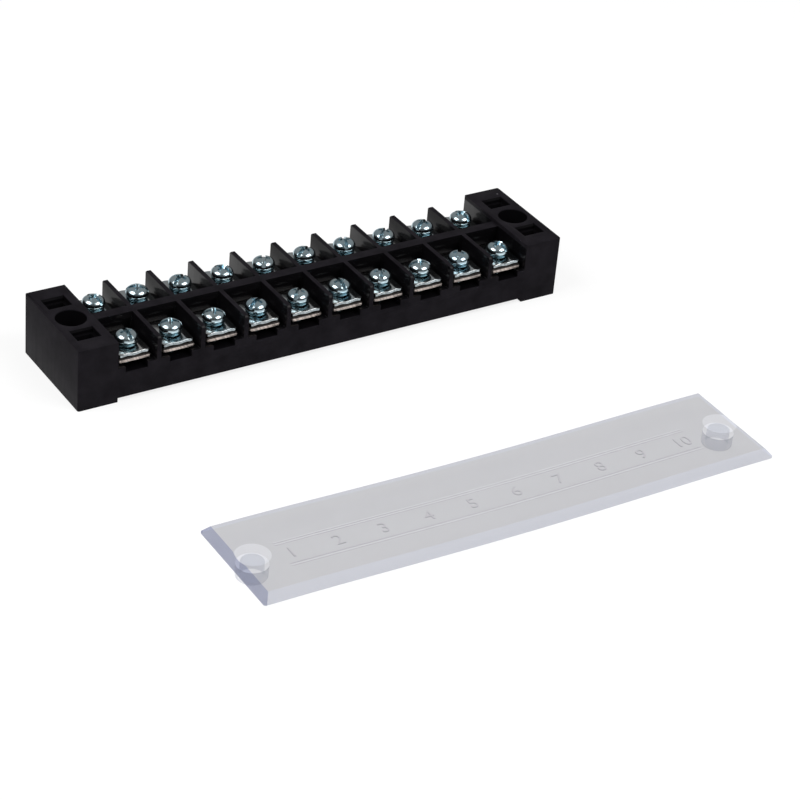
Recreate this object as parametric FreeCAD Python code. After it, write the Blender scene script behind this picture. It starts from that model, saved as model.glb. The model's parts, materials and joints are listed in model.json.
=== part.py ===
import FreeCAD, Part

import math
import os

# A ten-pole, two-row barrier terminal strip with its clear cover lifted off and laid in front of it.
# X runs along the strip, the front long side faces -Y, and Z = 0 is the plane that the feet stand on.
# The origin is midway between the two mounting holes. Every size is in millimetres.

# Moulded housing
pole_count = 10
pole_pitch = 12.4
barrier_thickness = 1.25
barrier_top = 16.4
barrier_corner = 0.5
strip_width = 31.3
block_length = 11.0
block_overlap = 1.05
block_top = 17.5
block_edge_radius = 0.5
wall_thickness = 2.9
cell_floor = 9.9
foot_height = 1.2

# Mounting holes, with a wider socket above each for the cover's peg
hole_inset = 5.35
mounting_hole_radius = 2.25
peg_radius = 3.95
peg_clearance = 0.1
socket_depth = 6.5

# Coring pockets in the tops of the end blocks
pocket_length = 6.5
pocket_width = 4.9
pocket_offset = 8.3
pocket_step_depth = 1.6
pocket_step_width = 0.7
pocket_depth = 11.0
pocket_bevel = 0.8

# Terminal plates, on two ribs each, passed through slots in the central wall
plate_width = 9.0
plate_thickness = 1.3
plate_inset = 1.25
plate_corner = 0.5
rib_height = 0.5
rib_width = 1.1
rib_setback = 0.6
slot_clearance = 0.05

# Room for the screw ends under each plate, open to the long side
recess_width = 6.2
recess_height = 1.6
recess_margin = 1.3
well_width = 4.8
well_margin = 0.7

# Terminal screws, their row set in from the long side
screw_setback = 6.35
shank_radius = 1.75
thread_clearance = 0.05
screw_length = 7.0
head_radius = 3.05
head_foot_radius = 2.6
head_height = 2.3
head_rim_height = 0.85
head_crown_radius = 2.1
slot_width = 0.9
slot_depth = 1.0
slot_turn_step = 52.0

# Square clamping washers, pressed into two shallow ridges
clamp_width = 8.7
clamp_length = 9.9
clamp_thickness = 0.85
clamp_ridge = 0.25
clamp_seat_gap = 0.05
washer_hole_clearance = 0.2

# Split spring washers, pressed nearly flat
spring_outer_radius = 2.82
spring_inner_radius = 1.9
spring_thickness = 0.7
spring_rise = 0.15
spring_split = 16.0
spring_seat_gap = 0.03

# Cover: a clear plate with bevelled edges and, at each end, a peg cored from below under a shallow dish
cover_rim_height = 0.5
cover_thickness = 2.4
cover_bevel = 1.75
peg_drop = 3.8
peg_wall = 1.0
peg_floor = 1.0
dish_radius = 4.4
dish_floor_radius = 3.4
dish_depth = 0.6
cover_centre_x = 0.6
cover_centre_y = -95.0
cover_turn = -0.5

# Small turned pieces are drawn with this many flats, corner to corner on their true radius
head_sides = 16
shank_sides = 10

# Places closer than this count as one when edges are picked
same_place = 1e-6

# Places worked out from the sizes above
strip_length = pole_count * pole_pitch + 2 * (block_length - block_overlap)
half_length = strip_length / 2
half_width = strip_width / 2
hole_offset = half_length - hole_inset
screw_offset = half_width - screw_setback
plate_bottom = cell_floor + rib_height
plate_top = plate_bottom + plate_thickness
plate_half_length = half_width - plate_inset
clamp_bottom = plate_top + clamp_seat_gap
clamp_crest = clamp_bottom + clamp_ridge + clamp_thickness
spring_bottom = clamp_crest + spring_seat_gap
head_bottom = spring_bottom + spring_thickness + spring_rise + spring_seat_gap
screw_end = head_bottom - screw_length
recess_floor = cell_floor - recess_height
well_floor = screw_end - well_margin
recess_end = screw_offset - well_width / 2 - recess_margin
socket_radius = peg_radius + peg_clearance


def box(x_low, x_high, y_low, y_high, z_low, z_high):
    """A block between two opposite corners."""
    corner = FreeCAD.Vector(x_low, y_low, z_low)
    return Part.makeBox(x_high - x_low, y_high - y_low, z_high - z_low, corner)


def cylinder(x, y, radius, z_low, z_high):
    """A round bar or bore standing on (x, y)."""
    return Part.makeCylinder(radius, z_high - z_low, FreeCAD.Vector(x, y, z_low))


def polygon_face(points):
    """A flat face through its corners, in order."""
    return Part.Face(Part.makePolygon(points + points[:1]))


def ring_points(radius, sides, z):
    """Corners of a regular polygon about the Z axis."""
    angles = [2 * math.pi * index / sides for index in range(sides)]
    return [FreeCAD.Vector(radius * math.cos(a), radius * math.sin(a), z) for a in angles]


def rectangle_points(half_x, half_y, z):
    """Corners of a rectangle about the Z axis."""
    corners = [(-half_x, -half_y), (half_x, -half_y), (half_x, half_y), (-half_x, half_y)]
    return [FreeCAD.Vector(x, y, z) for x, y in corners]


def stack(rings):
    """A solid with flat sides through a column of similar outlines, lowest first."""
    faces = [polygon_face(rings[0]), polygon_face(rings[-1])]
    count = len(rings[0])
    for low, high in zip(rings[:-1], rings[1:]):
        for index in range(count):
            following = (index + 1) % count
            faces.append(polygon_face([low[index], low[following], high[following], high[index]]))
    return Part.Solid(Part.makeShell(faces))


def prism(radius, sides, z_low, z_high):
    """A bar of many flats about the Z axis, its corners on the given radius."""
    return stack([ring_points(radius, sides, z_low), ring_points(radius, sides, z_high)])


def moved(shape, x, y, z=0.0):
    """A copy of a shape, shifted."""
    placed = shape.copy()
    placed.translate(FreeCAD.Vector(x, y, z))
    return placed


def pole_centres():
    """X of each pole's centre, from left to right."""
    first = -(pole_count - 1) / 2 * pole_pitch
    return [first + pole_pitch * index for index in range(pole_count)]


def barrier_centres():
    """X of each barrier between two poles."""
    return [x + pole_pitch / 2 for x in pole_centres()[:-1]]


def cell_section():
    """The housing's section across its length: base and central wall, as one outline."""
    half_wall = wall_thickness / 2
    outline = [
        (-half_width, foot_height),
        (half_width, foot_height),
        (half_width, cell_floor),
        (half_wall, cell_floor),
        (half_wall, barrier_top),
        (-half_wall, barrier_top),
        (-half_wall, cell_floor),
        (-half_width, cell_floor),
    ]
    points = [FreeCAD.Vector(-half_length + block_length, y, z) for y, z in outline]
    return polygon_face(points).extrude(FreeCAD.Vector(strip_length - 2 * block_length, 0, 0))


def barrier(x):
    """A thin barrier across the whole strip, from the base's underside, its two top corners taken off."""
    sheet = box(
        x - barrier_thickness / 2, x + barrier_thickness / 2,
        -half_width, half_width,
        foot_height, barrier_top,
    )
    corners = [
        edge for edge in sheet.Edges
        if abs(edge.CenterOfMass.z - barrier_top) < same_place
        and abs(abs(edge.CenterOfMass.y) - half_width) < same_place
    ]
    return sheet.makeChamfer(barrier_corner, corners)


def end_block(side):
    """A solid end block with its foot; side is -1 for the left end and +1 for the right."""
    inner = side * (half_length - block_length)
    outer = side * half_length
    block = box(min(inner, outer), max(inner, outer), -half_width, half_width, 0, block_top)
    corners = [
        edge for edge in block.Edges
        if abs(edge.CenterOfMass.x - outer) < same_place
        and abs(edge.CenterOfMass.z - block_top / 2) < same_place
    ]
    return block.makeFillet(block_edge_radius, corners)


def pocket(x, y):
    """A stepped coring pocket, its back edge bevelled."""
    half_x = pocket_length / 2
    half_y = pocket_width / 2
    step_floor = block_top - pocket_step_depth
    mouth = box(x - half_x, x + half_x, y - half_y, y + half_y, step_floor, block_top)
    shaft = box(
        x - half_x + pocket_step_width, x + half_x - pocket_step_width,
        y - half_y, y + half_y - pocket_step_width,
        block_top - pocket_depth, step_floor,
    )
    back = y + half_y
    bevel = [
        FreeCAD.Vector(x - half_x, back, block_top - pocket_bevel),
        FreeCAD.Vector(x - half_x, back + pocket_bevel, block_top),
        FreeCAD.Vector(x - half_x, back, block_top),
    ]
    wedge = polygon_face(bevel).extrude(FreeCAD.Vector(pocket_length, 0, 0))
    return mouth.fuse([shaft, wedge])


def end_block_cuts(side):
    """Mounting hole, peg socket and two pockets of one end block."""
    x = side * hole_offset
    return [
        cylinder(x, 0, mounting_hole_radius, 0, block_top),
        cylinder(x, 0, socket_radius, block_top - socket_depth, block_top),
        pocket(x, pocket_offset),
        pocket(x, -pocket_offset),
    ]


def plate_ribs(x):
    """Two ribs on the cell floor that carry a terminal plate along its edges."""
    reach = plate_half_length - rib_setback
    ribs = []
    for side in (-1, 1):
        inner = x + side * recess_width / 2
        outer = inner + side * rib_width
        low = min(inner, outer)
        high = max(inner, outer)
        ribs.append(box(low, high, -reach, reach, foot_height, plate_bottom))
    return ribs


def pole_cuts(x):
    """Slot for a plate through the central wall, and the screw-end rooms of both rows."""
    half_slot = plate_width / 2 + slot_clearance
    half_wall = wall_thickness / 2
    cuts = [
        box(
            x - half_slot, x + half_slot,
            -half_wall, half_wall,
            plate_bottom, plate_top + slot_clearance,
        )
    ]
    for side in (-1, 1):
        face = side * half_width
        back = side * recess_end
        cuts.append(
            box(
                x - recess_width / 2, x + recess_width / 2,
                min(face, back), max(face, back),
                recess_floor, plate_bottom,
            )
        )
        y = side * screw_offset
        half_well = well_width / 2
        cuts.append(
            box(
                x - half_well, x + half_well,
                y - half_well, y + half_well,
                well_floor, recess_floor,
            )
        )
    return cuts


def make_housing():
    """The one-piece black moulding."""
    bodies = [end_block(-1), end_block(1)]
    bodies += [barrier(x) for x in barrier_centres()]
    for x in pole_centres():
        bodies += plate_ribs(x)
    solid = cell_section().fuse(bodies)
    cuts = end_block_cuts(-1) + end_block_cuts(1)
    for x in pole_centres():
        cuts += pole_cuts(x)
    return solid.cut(cuts).removeSplitter()


def make_terminal_plate(x):
    """A flat plated bar under both screws of a pole, with a threaded hole at each end."""
    half = plate_width / 2
    inner = half - plate_corner
    end = plate_half_length
    shoulder = end - plate_corner
    outline = [
        (-inner, -end), (inner, -end), (half, -shoulder), (half, shoulder),
        (inner, end), (-inner, end), (-half, shoulder), (-half, -shoulder),
    ]
    points = [FreeCAD.Vector(x + u, v, plate_bottom) for u, v in outline]
    plate = polygon_face(points).extrude(FreeCAD.Vector(0, 0, plate_thickness))
    hole_radius = (shank_radius + thread_clearance) / math.cos(math.pi / shank_sides)
    hole = prism(hole_radius, shank_sides, plate_bottom, plate_top)
    return plate.cut([moved(hole, x, -screw_offset), moved(hole, x, screw_offset)])


def make_screw(turn):
    """A pan-head screw on the Z axis, its slot turned by an angle in degrees."""
    crown_top = head_bottom + head_height
    head = stack(
        [
            ring_points(head_foot_radius, head_sides, head_bottom),
            ring_points(head_radius, head_sides, head_bottom + head_rim_height),
            ring_points(head_crown_radius, head_sides, crown_top),
        ]
    )
    shank = prism(shank_radius, shank_sides, screw_end, head_bottom)
    screw = head.fuse(shank).removeSplitter()
    slot = box(
        -2 * head_radius, 2 * head_radius,
        -slot_width / 2, slot_width / 2,
        crown_top - slot_depth, crown_top + slot_depth,
    )
    screw = screw.cut(slot)
    screw.rotate(FreeCAD.Vector(0, 0, 0), FreeCAD.Vector(0, 0, 1), turn)
    return screw


def make_square_washer():
    """A clamping washer on the Z axis, nearly square: two shallow ridges between three feet."""
    half = clamp_width / 2
    quarter = half / 2
    wave = [(-half, 0.0), (-quarter, clamp_ridge), (0.0, 0.0), (quarter, clamp_ridge), (half, 0.0)]
    under = [FreeCAD.Vector(x, -clamp_length / 2, clamp_bottom + rise) for x, rise in wave]
    over = [point + FreeCAD.Vector(0, 0, clamp_thickness) for point in reversed(under)]
    washer = polygon_face(under + over).extrude(FreeCAD.Vector(0, clamp_length, 0))
    hole_radius = (shank_radius + washer_hole_clearance) / math.cos(math.pi / shank_sides)
    hole = prism(hole_radius, shank_sides, clamp_bottom, clamp_crest)
    return washer.cut(hole)


def make_spring_washer():
    """A split ring of rectangular wire that climbs evenly from one end to the other."""
    opening = math.radians(spring_split)
    step = (2 * math.pi - opening) / shank_sides
    corners = []
    for index in range(shank_sides + 1):
        angle = opening / 2 + step * index
        low = spring_bottom + spring_rise * index / shank_sides
        high = low + spring_thickness
        section = [
            (spring_inner_radius, low),
            (spring_outer_radius, low),
            (spring_outer_radius, high),
            (spring_inner_radius, high),
        ]
        corners.append(
            [FreeCAD.Vector(r * math.cos(angle), r * math.sin(angle), z) for r, z in section]
        )
    faces = [polygon_face(corners[0]), polygon_face(corners[-1])]
    for near, far in zip(corners[:-1], corners[1:]):
        for index in range(4):
            following = (index + 1) % 4
            faces.append(polygon_face([near[index], near[following], far[following]]))
            faces.append(polygon_face([near[index], far[following], far[index]]))
    return Part.Solid(Part.makeShell(faces))


def make_clamp():
    """Square washer and spring washer of one screw, as two separate solids."""
    return Part.makeCompound([make_square_washer(), make_spring_washer()])


def make_cover():
    """The clear cover, lying on its two pegs in front of the strip."""
    top = peg_drop + cover_thickness
    rim_top = peg_drop + cover_rim_height
    crown_x = half_length - cover_bevel
    crown_y = half_width - cover_bevel
    slab = stack(
        [
            rectangle_points(half_length, half_width, peg_drop),
            rectangle_points(half_length, half_width, rim_top),
            rectangle_points(crown_x, crown_y, top),
        ]
    )
    dish_floor = top - dish_depth
    pegs = []
    hollows = []
    for x in (-hole_offset, hole_offset):
        place = FreeCAD.Vector(x, 0, dish_floor)
        pegs.append(cylinder(x, 0, peg_radius, 0, dish_floor))
        hollows.append(cylinder(x, 0, peg_radius - peg_wall, 0, dish_floor - peg_floor))
        hollows.append(Part.makeCone(dish_floor_radius, dish_radius, dish_depth, place))
    cover = slab.fuse(pegs).cut(hollows).removeSplitter()
    cover.rotate(FreeCAD.Vector(0, 0, 0), FreeCAD.Vector(0, 0, 1), cover_turn)
    return moved(cover, cover_centre_x, cover_centre_y)


def export(shape, node):
    """Write one piece to parts/."""
    shape.exportStep("parts/" + node + ".step")


def main():
    os.makedirs("parts", exist_ok=True)
    export(make_housing(), "housing")
    export(make_cover(), "cover")
    clamp = make_clamp()
    for index, x in enumerate(pole_centres()):
        number = "%02d" % (index + 1)
        export(make_terminal_plate(x), "terminal_plate_" + number)
        for row, side in (("front", -1), ("back", 1)):
            y = side * screw_offset
            turn = slot_turn_step * (2 * index + (side + 1) / 2)
            export(moved(make_screw(turn), x, y), "screw_" + row + "_" + number)
            export(moved(clamp, x, y), "clamp_" + row + "_" + number)


main()
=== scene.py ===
"""Looks of a ten-pole barrier terminal strip and of its clear cover, laid in front of it.

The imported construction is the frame: X runs along the strip, the front long side faces -Y and
Z = 0 is the plane that the feet stand on. Every place is in metres, and every angle in radians.
"""

import json
import math

import bmesh
import bpy
import numpy as np
from bpy.props import FloatProperty, FloatVectorProperty, PointerProperty
from mathutils import Matrix, Vector


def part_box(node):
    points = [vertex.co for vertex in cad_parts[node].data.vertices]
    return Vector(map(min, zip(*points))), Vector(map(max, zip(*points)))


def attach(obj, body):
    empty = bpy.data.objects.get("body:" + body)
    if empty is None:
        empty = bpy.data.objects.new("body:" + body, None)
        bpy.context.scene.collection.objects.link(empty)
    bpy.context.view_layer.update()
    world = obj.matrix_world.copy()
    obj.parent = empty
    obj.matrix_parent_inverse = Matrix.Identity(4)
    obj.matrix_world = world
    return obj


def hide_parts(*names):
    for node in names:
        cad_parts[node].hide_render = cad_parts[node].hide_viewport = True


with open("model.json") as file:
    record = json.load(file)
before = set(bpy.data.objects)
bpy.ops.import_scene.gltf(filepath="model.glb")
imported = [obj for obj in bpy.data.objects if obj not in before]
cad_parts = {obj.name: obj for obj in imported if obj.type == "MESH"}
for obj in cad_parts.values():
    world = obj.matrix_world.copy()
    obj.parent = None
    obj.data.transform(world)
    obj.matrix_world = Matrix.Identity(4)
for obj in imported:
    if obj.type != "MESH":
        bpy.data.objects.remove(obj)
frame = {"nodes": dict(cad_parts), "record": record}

bl_info = {
    "name": "Barrier terminal strip",
    "version": (1, 0, 0),
    "blender": (4, 5, 0),
    "location": "View3D > Sidebar > Strip",
    "description": "Makes a barrier terminal strip with its screws, washers and clear cover",
    "category": "Object",
}

MM = 0.001
ROWS = ("front", "back")
POLES = len([name for name in frame["nodes"] if name.startswith("terminal_plate_")])
FULL_TURN = 2 * math.pi
WHITE = (1.0, 1.0, 1.0, 1.0)

# Slant of the marks that a shear leaves on a cut face
SHEAR_SLANT = math.radians(28.0)

# How far each screw was left turned, in degrees from X to its slot
SLOT_TURNS = {
    "front": (90, -20, -22, 30, 45, 88, 66, -18, 55, 112),
    "back": (112, 150, 35, 120, 62, 30, 72, 42, 30, 106),
}


# Sizes taken from the construction


STRIP_LOW, STRIP_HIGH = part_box("housing")
CLAMP_LOW, CLAMP_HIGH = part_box("clamp_front_01")
PLATE_LOW, PLATE_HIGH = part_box("terminal_plate_01")
SCREW_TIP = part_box("screw_front_01")[0].z


def middle(node, axis):
    """Centre of a construction node along one axis."""
    low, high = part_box(node)
    return (low[axis] + high[axis]) / 2


def over_base(node):
    """The move that takes a shape from the Z axis to a node's place, as seen from above."""
    return Matrix.Translation((middle(node, 0), middle(node, 1), 0.0))


# Settings that a user would change


def distance_setting(name, description, default, least=0.0):
    """A length that a user can change, down to the least that makes sense."""
    return FloatProperty(
        name=name, description=description, default=default, min=least,
        subtype="DISTANCE", precision=5,
    )


def angle_setting(name, description, default):
    """An angle that a user can change."""
    return FloatProperty(name=name, description=description, default=default, subtype="ANGLE")


def colour_setting(name, description, default):
    """A colour that a user can change."""
    return FloatVectorProperty(
        name=name, description=description, default=default, size=3, min=0.0, max=1.0,
        subtype="COLOR",
    )


class MouldingSettings(bpy.types.PropertyGroup):
    """Edges and colours of the one-piece black moulding."""

    edge_radius: distance_setting(
        "Edge radius", "How far the moulding's crisp edges are rounded", 0.13 * MM
    )
    # Up to this height the cells also take the moulding's painted shade
    cell_top: distance_setting(
        "Cell top", "Height of the barriers, up to which the cells are smooth", 16.3 * MM
    )
    cell_end: distance_setting(
        "Cell end", "Distance from the middle to the end block's face that closes the last cell",
        60.95 * MM,
    )
    colour: colour_setting("Colour", "Colour of the moulding", (0.0100, 0.0090, 0.0110))
    dust: colour_setting(
        "Dust", "Colour of the few specks of dust on the moulding", (0.16, 0.16, 0.17)
    )


class ContactSettings(bpy.types.PropertyGroup):
    """Shape and colours of the plated contact bars under the screws."""

    corner: distance_setting("Corner", "Radius of a bar's corners, seen from above", 0.6 * MM)
    roll_depth: distance_setting(
        "Roll depth", "Height of the rolled upper edge that the shear leaves", 0.42 * MM
    )
    roll_width: distance_setting(
        "Roll width", "How far the rolled edge reaches in over a bar's top", 0.9 * MM
    )
    hole_radius: distance_setting(
        "Hole radius", "Radius of the threaded hole under each screw", 1.8 * MM
    )
    colour: colour_setting(
        "Colour", "Colour of the plating on the sheared ends", (0.64, 0.55, 0.50)
    )
    top_colour: colour_setting(
        "Top colour", "Colour of the plating on the level faces", (0.27, 0.28, 0.30)
    )


class WasherSettings(bpy.types.PropertyGroup):
    """Shape and colours of the square clamping washers and of the split spring washers."""

    width: distance_setting(
        "Width", "Size of a square washer along the strip", CLAMP_HIGH.x - CLAMP_LOW.x
    )
    length: distance_setting(
        "Length", "Size of a square washer across the strip", CLAMP_HIGH.y - CLAMP_LOW.y
    )
    thickness: distance_setting("Thickness", "Thickness of a square washer", 0.85 * MM)
    ridge: distance_setting(
        "Ridge height", "Height of the two shallow ridges that are pressed into a square washer",
        0.25 * MM,
    )
    hole_radius: distance_setting(
        "Hole radius", "Radius of the round hole in a square washer", 1.95 * MM
    )
    spring_outer: distance_setting(
        "Spring outer radius", "Outer radius of a spring washer", 2.82 * MM
    )
    spring_inner: distance_setting(
        "Spring inner radius", "Inner radius of a spring washer", 1.9 * MM
    )
    spring_thickness: distance_setting(
        "Spring thickness", "Thickness of a spring washer's wire", 0.7 * MM
    )
    spring_rise: distance_setting(
        "Spring rise", "How far a spring washer climbs from one end to the other", 0.15 * MM
    )
    colour: colour_setting(
        "Colour", "Colour of the square washers' plating", (0.47, 0.53, 0.56)
    )
    spring_colour: colour_setting(
        "Spring colour", "Colour of the spring washers' plating", (0.10, 0.19, 0.235)
    )


class ScrewSettings(bpy.types.PropertyGroup):
    """Shape and colour of the terminal screws."""

    head_radius: distance_setting("Head radius", "Radius of a screw's head", 3.05 * MM)
    head_height: distance_setting("Head height", "Height of a screw's head", 2.5 * MM)
    rim_height: distance_setting(
        "Rim height", "Height of a head's widest ring above the head's foot", 0.6 * MM
    )
    foot_radius: distance_setting(
        "Foot radius", "Radius on which a head stands on its spring washer", 2.35 * MM
    )
    shank_radius: distance_setting("Thread radius", "Radius of the thread's crests", 1.73 * MM)
    thread_pitch: distance_setting(
        "Thread pitch", "Distance from one crest of the thread to the next", 0.6 * MM, 0.1 * MM
    )
    slot_width: distance_setting(
        "Slot width", "Width of the straight slot across a head", 1.05 * MM
    )
    slot_depth: distance_setting(
        "Slot depth", "Depth of the straight slot, from the top of the head", 1.5 * MM
    )
    colour: colour_setting("Colour", "Colour of the screws' plating", (0.43, 0.57, 0.64))


class CoverSettings(bpy.types.PropertyGroup):
    """Shape and colours of the clear cover."""

    length: distance_setting("Length", "Length of the cover", STRIP_HIGH.x - STRIP_LOW.x)
    width: distance_setting("Width", "Width of the cover", STRIP_HIGH.y - STRIP_LOW.y)
    drop: distance_setting("Peg drop", "How far the pegs reach below the plate", 3.8 * MM)
    thickness: distance_setting("Thickness", "Thickness of the plate", 2.4 * MM)
    rim: distance_setting(
        "Rim height", "Height of the upright part of the plate's edge", 0.5 * MM
    )
    bevel: distance_setting(
        "Bevel", "How far the bevel above the rim leans inwards", 1.75 * MM
    )
    turn: angle_setting(
        "Turn", "How far the cover lies out of line with the strip", math.radians(-0.5)
    )
    sag: distance_setting(
        "Sag", "How far the middle of the plate hangs lower than its ends", 0.8 * MM
    )
    dish_depth: distance_setting(
        "Dish depth", "Depth of the shallow dish over each peg", 0.6 * MM
    )
    mark_height: distance_setting(
        "Mark height", "How far the figures and lines stand out of the underside of the plate",
        0.2 * MM,
    )
    figure_size: distance_setting("Figure size", "Height of the raised figures", 3.9 * MM)
    # The plate's tint is partly painted shadow: the cover's own shadow on the floor under it
    colour: colour_setting("Colour", "Tint of the clear plastic", (0.585, 0.585, 0.605))
    # Painted light: the long bevels are tinted lighter and bluer, as a bevel that bends light looks
    side_light_tint: colour_setting(
        "Side colour", "Tint of the clear plastic where it is seen through a long bevel",
        (0.60, 0.62, 0.70),
    )
    # Painted shade: the left end's bevel is tinted darker
    end_shade_tint: colour_setting(
        "End colour", "Tint of the clear plastic where it is seen through the left end's bevel",
        (0.24, 0.26, 0.38),
    )


class StageSettings(bpy.types.PropertyGroup):
    """Camera, lamps, plain surroundings and floor."""

    azimuth: angle_setting(
        "Azimuth", "Where the camera stands round the strip, from its front side",
        math.radians(-34.307),
    )
    elevation: angle_setting("Elevation", "How far the camera looks down", math.radians(32.297))
    roll: angle_setting(
        "Roll", "How far the camera is turned about its own line of sight", math.radians(5.256)
    )
    place: FloatVectorProperty(
        name="Place",
        description="Where the camera stands",
        default=(-0.3168, -0.5155, 0.3605), size=3, subtype="TRANSLATION", precision=5,
    )
    lens: FloatProperty(
        name="Lens",
        description="Focal length in millimetres",
        default=119.1435, min=1.0, unit="CAMERA",
    )
    lamp_power: FloatProperty(
        name="Lamp power",
        description="Power of each of the two lamps",
        default=8.5, min=0.0, subtype="POWER",
    )
    sky_front: FloatProperty(
        name="Sky in front",
        description="Brightness of the plain surroundings on the camera's side",
        default=0.10, min=0.0,
    )
    sky_back: FloatProperty(
        name="Sky behind",
        description="Brightness of the plain surroundings over and behind the strip",
        default=0.32, min=0.0,
    )
    floor_size: distance_setting("Floor size", "Side of the square floor", 6.0)
    floor_base: FloatProperty(
        name="Floor light",
        description="Share of the floor's white that no shadow takes away",
        default=0.82, min=0.0, max=1.0, subtype="FACTOR",
    )


# Meshes


def grid_quads(rows, columns, close_rows=False, close_columns=True):
    """Quads of a grid of points numbered row by row, with either direction closed on itself."""
    row, column = np.meshgrid(
        np.arange(rows if close_rows else rows - 1),
        np.arange(columns if close_columns else columns - 1),
        indexing="ij",
    )
    next_row = (row + 1) % rows
    next_column = (column + 1) % columns
    corners = [
        row * columns + column,
        row * columns + next_column,
        next_row * columns + next_column,
        next_row * columns + column,
    ]
    return np.stack(corners, axis=-1).reshape(-1, 4)


def new_mesh(name, points, quads, caps=()):
    """A mesh from an array of points, an array of quads and a few polygons that close its ends."""
    caps = [np.asarray(cap) for cap in caps]
    loops = np.concatenate([quads.ravel()] + caps).astype(np.int32)
    sizes = np.array([4] * len(quads) + [len(cap) for cap in caps])
    starts = np.concatenate([[0], np.cumsum(sizes)[:-1]]).astype(np.int32)
    mesh = bpy.data.meshes.new(name)
    mesh.vertices.add(len(points.reshape(-1, 3)))
    mesh.vertices.foreach_set("co", points.astype(np.float32).ravel())
    mesh.loops.add(len(loops))
    mesh.loops.foreach_set("vertex_index", loops)
    mesh.polygons.add(len(sizes))
    mesh.polygons.foreach_set("loop_start", starts)
    mesh.update(calc_edges=True)
    mesh.validate()
    return mesh


def tube_mesh(name, points):
    """A closed mesh from rings of points, one ring to a row, its first and last rings capped."""
    rows, columns = points.shape[:2]
    first = np.arange(columns)[::-1]
    last = np.arange(columns) + (rows - 1) * columns
    return new_mesh(name, points, grid_quads(rows, columns), (first, last))


def new_object(name, data):
    """An object for some data, in the scene's own collection."""
    result = bpy.data.objects.new(name, data)
    bpy.context.scene.collection.objects.link(result)
    return result


def new_piece(name, mesh, material):
    """An object for a finished mesh, with its material."""
    piece = new_object(name, mesh)
    mesh.materials.clear()
    mesh.materials.append(material)
    return piece


def shade(mesh, angle):
    """Smooth faces, with edges sharper than the angle left sharp."""
    mesh.shade_smooth()
    mesh.set_sharp_from_angle(angle=angle)


def transformed(mesh, matrix, name):
    """A copy of a mesh with a transform worked into its points."""
    copy = mesh.copy()
    copy.name = name
    copy.transform(matrix)
    return copy


def mesh_taken_from(holder):
    """The mesh of an object whose modifiers or text are worked out; the object itself goes."""
    graph = bpy.context.evaluated_depsgraph_get()
    result = bpy.data.meshes.new_from_object(holder.evaluated_get(graph), depsgraph=graph)
    bpy.data.objects.remove(holder)
    return result


def finished(mesh, modifiers):
    """The mesh that a list of (kind, settings) modifiers leaves."""
    holder = new_object("holder", mesh)
    for kind, settings in modifiers:
        modifier = holder.modifiers.new(kind.lower(), kind)
        for key, value in settings.items():
            setattr(modifier, key, value)
    return mesh_taken_from(holder)


def bevelled(mesh, width, angle):
    """The mesh with every edge that is sharper than the angle rounded in two steps."""
    settings = {
        "width": width, "segments": 2, "limit_method": "ANGLE", "angle_limit": angle,
        "use_clamp_overlap": True,
    }
    return finished(mesh, [("BEVEL", settings)])


def cut_or_joined(mesh, steps):
    """A solid after a list of (operation, other solid) Boolean steps."""
    others = [new_object("other", other) for _, other in steps]
    result = finished(mesh, [
        ("BOOLEAN", {"operation": operation, "object": other, "solver": "EXACT"})
        for (operation, _), other in zip(steps, others)
    ])
    for other in others:
        bpy.data.objects.remove(other)
    return result


def merged(mesh, distance, flat_angle=None):
    """The mesh with its loose triangles joined, and flat neighbours too if an angle is given."""
    work = bmesh.new()
    work.from_mesh(mesh)
    bmesh.ops.remove_doubles(work, verts=work.verts, dist=distance)
    if flat_angle is not None:
        bmesh.ops.dissolve_limit(
            work, angle_limit=flat_angle, use_dissolve_boundaries=False,
            verts=work.verts, edges=work.edges,
        )
    result = bpy.data.meshes.new(mesh.name + "_merged")
    work.to_mesh(result)
    work.free()
    return result


def joined(name, meshes):
    """One mesh of several that don't touch."""
    work = bmesh.new()
    for mesh in meshes:
        work.from_mesh(mesh)
    result = bpy.data.meshes.new(name)
    work.to_mesh(result)
    work.free()
    return result


def vectors_of(items, key):
    """One vector of each of a mesh's points or faces, as an array with three columns."""
    values = np.empty(len(items) * 3, np.float32)
    items.foreach_get(key, values)
    return values.reshape(-1, 3)


# Outlines


def rounded(corners, radii, steps, closed=False):
    """An outline through corners, each replaced by an arc of its radius that touches both its runs.

    The arc's centre lies on the corner's bisector, radius / sin(half angle) away, and its points
    turn evenly from one touching point to the other.
    """
    corners = np.asarray(corners, float)
    last = len(corners) - 1
    parts = []
    for index, radius in enumerate(radii):
        here = corners[index]
        if radius == 0 or (not closed and index in (0, last)):
            parts.append(here[None])
            continue
        before = corners[index - 1] - here
        after = corners[(index + 1) % len(corners)] - here
        before /= np.linalg.norm(before)
        after /= np.linalg.norm(after)
        half = math.acos(np.clip(before @ after, -1, 1)) / 2
        bisector = (before + after) / np.linalg.norm(before + after)
        centre = here + bisector * radius / math.sin(half)
        start = here + before * radius / math.tan(half) - centre
        end = here + after * radius / math.tan(half) - centre
        sweep = math.pi - 2 * half
        share = np.linspace(0, 1, steps + 1)[:, None]
        arc = np.sin((1 - share) * sweep) * start + np.sin(share * sweep) * end
        parts.append(centre + arc / math.sin(sweep))
    return np.concatenate(parts)


def turned(profile, columns):
    """A profile of (radius, height) turned about Z: each ring holds (r cos t, r sin t, z)."""
    profile = np.asarray(profile)
    angle = np.linspace(0, FULL_TURN, columns, endpoint=False)
    radius = profile[:, :1]
    height = profile[:, 1:] + 0 * angle
    return np.stack([radius * np.cos(angle), radius * np.sin(angle), height], axis=-1)


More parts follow.
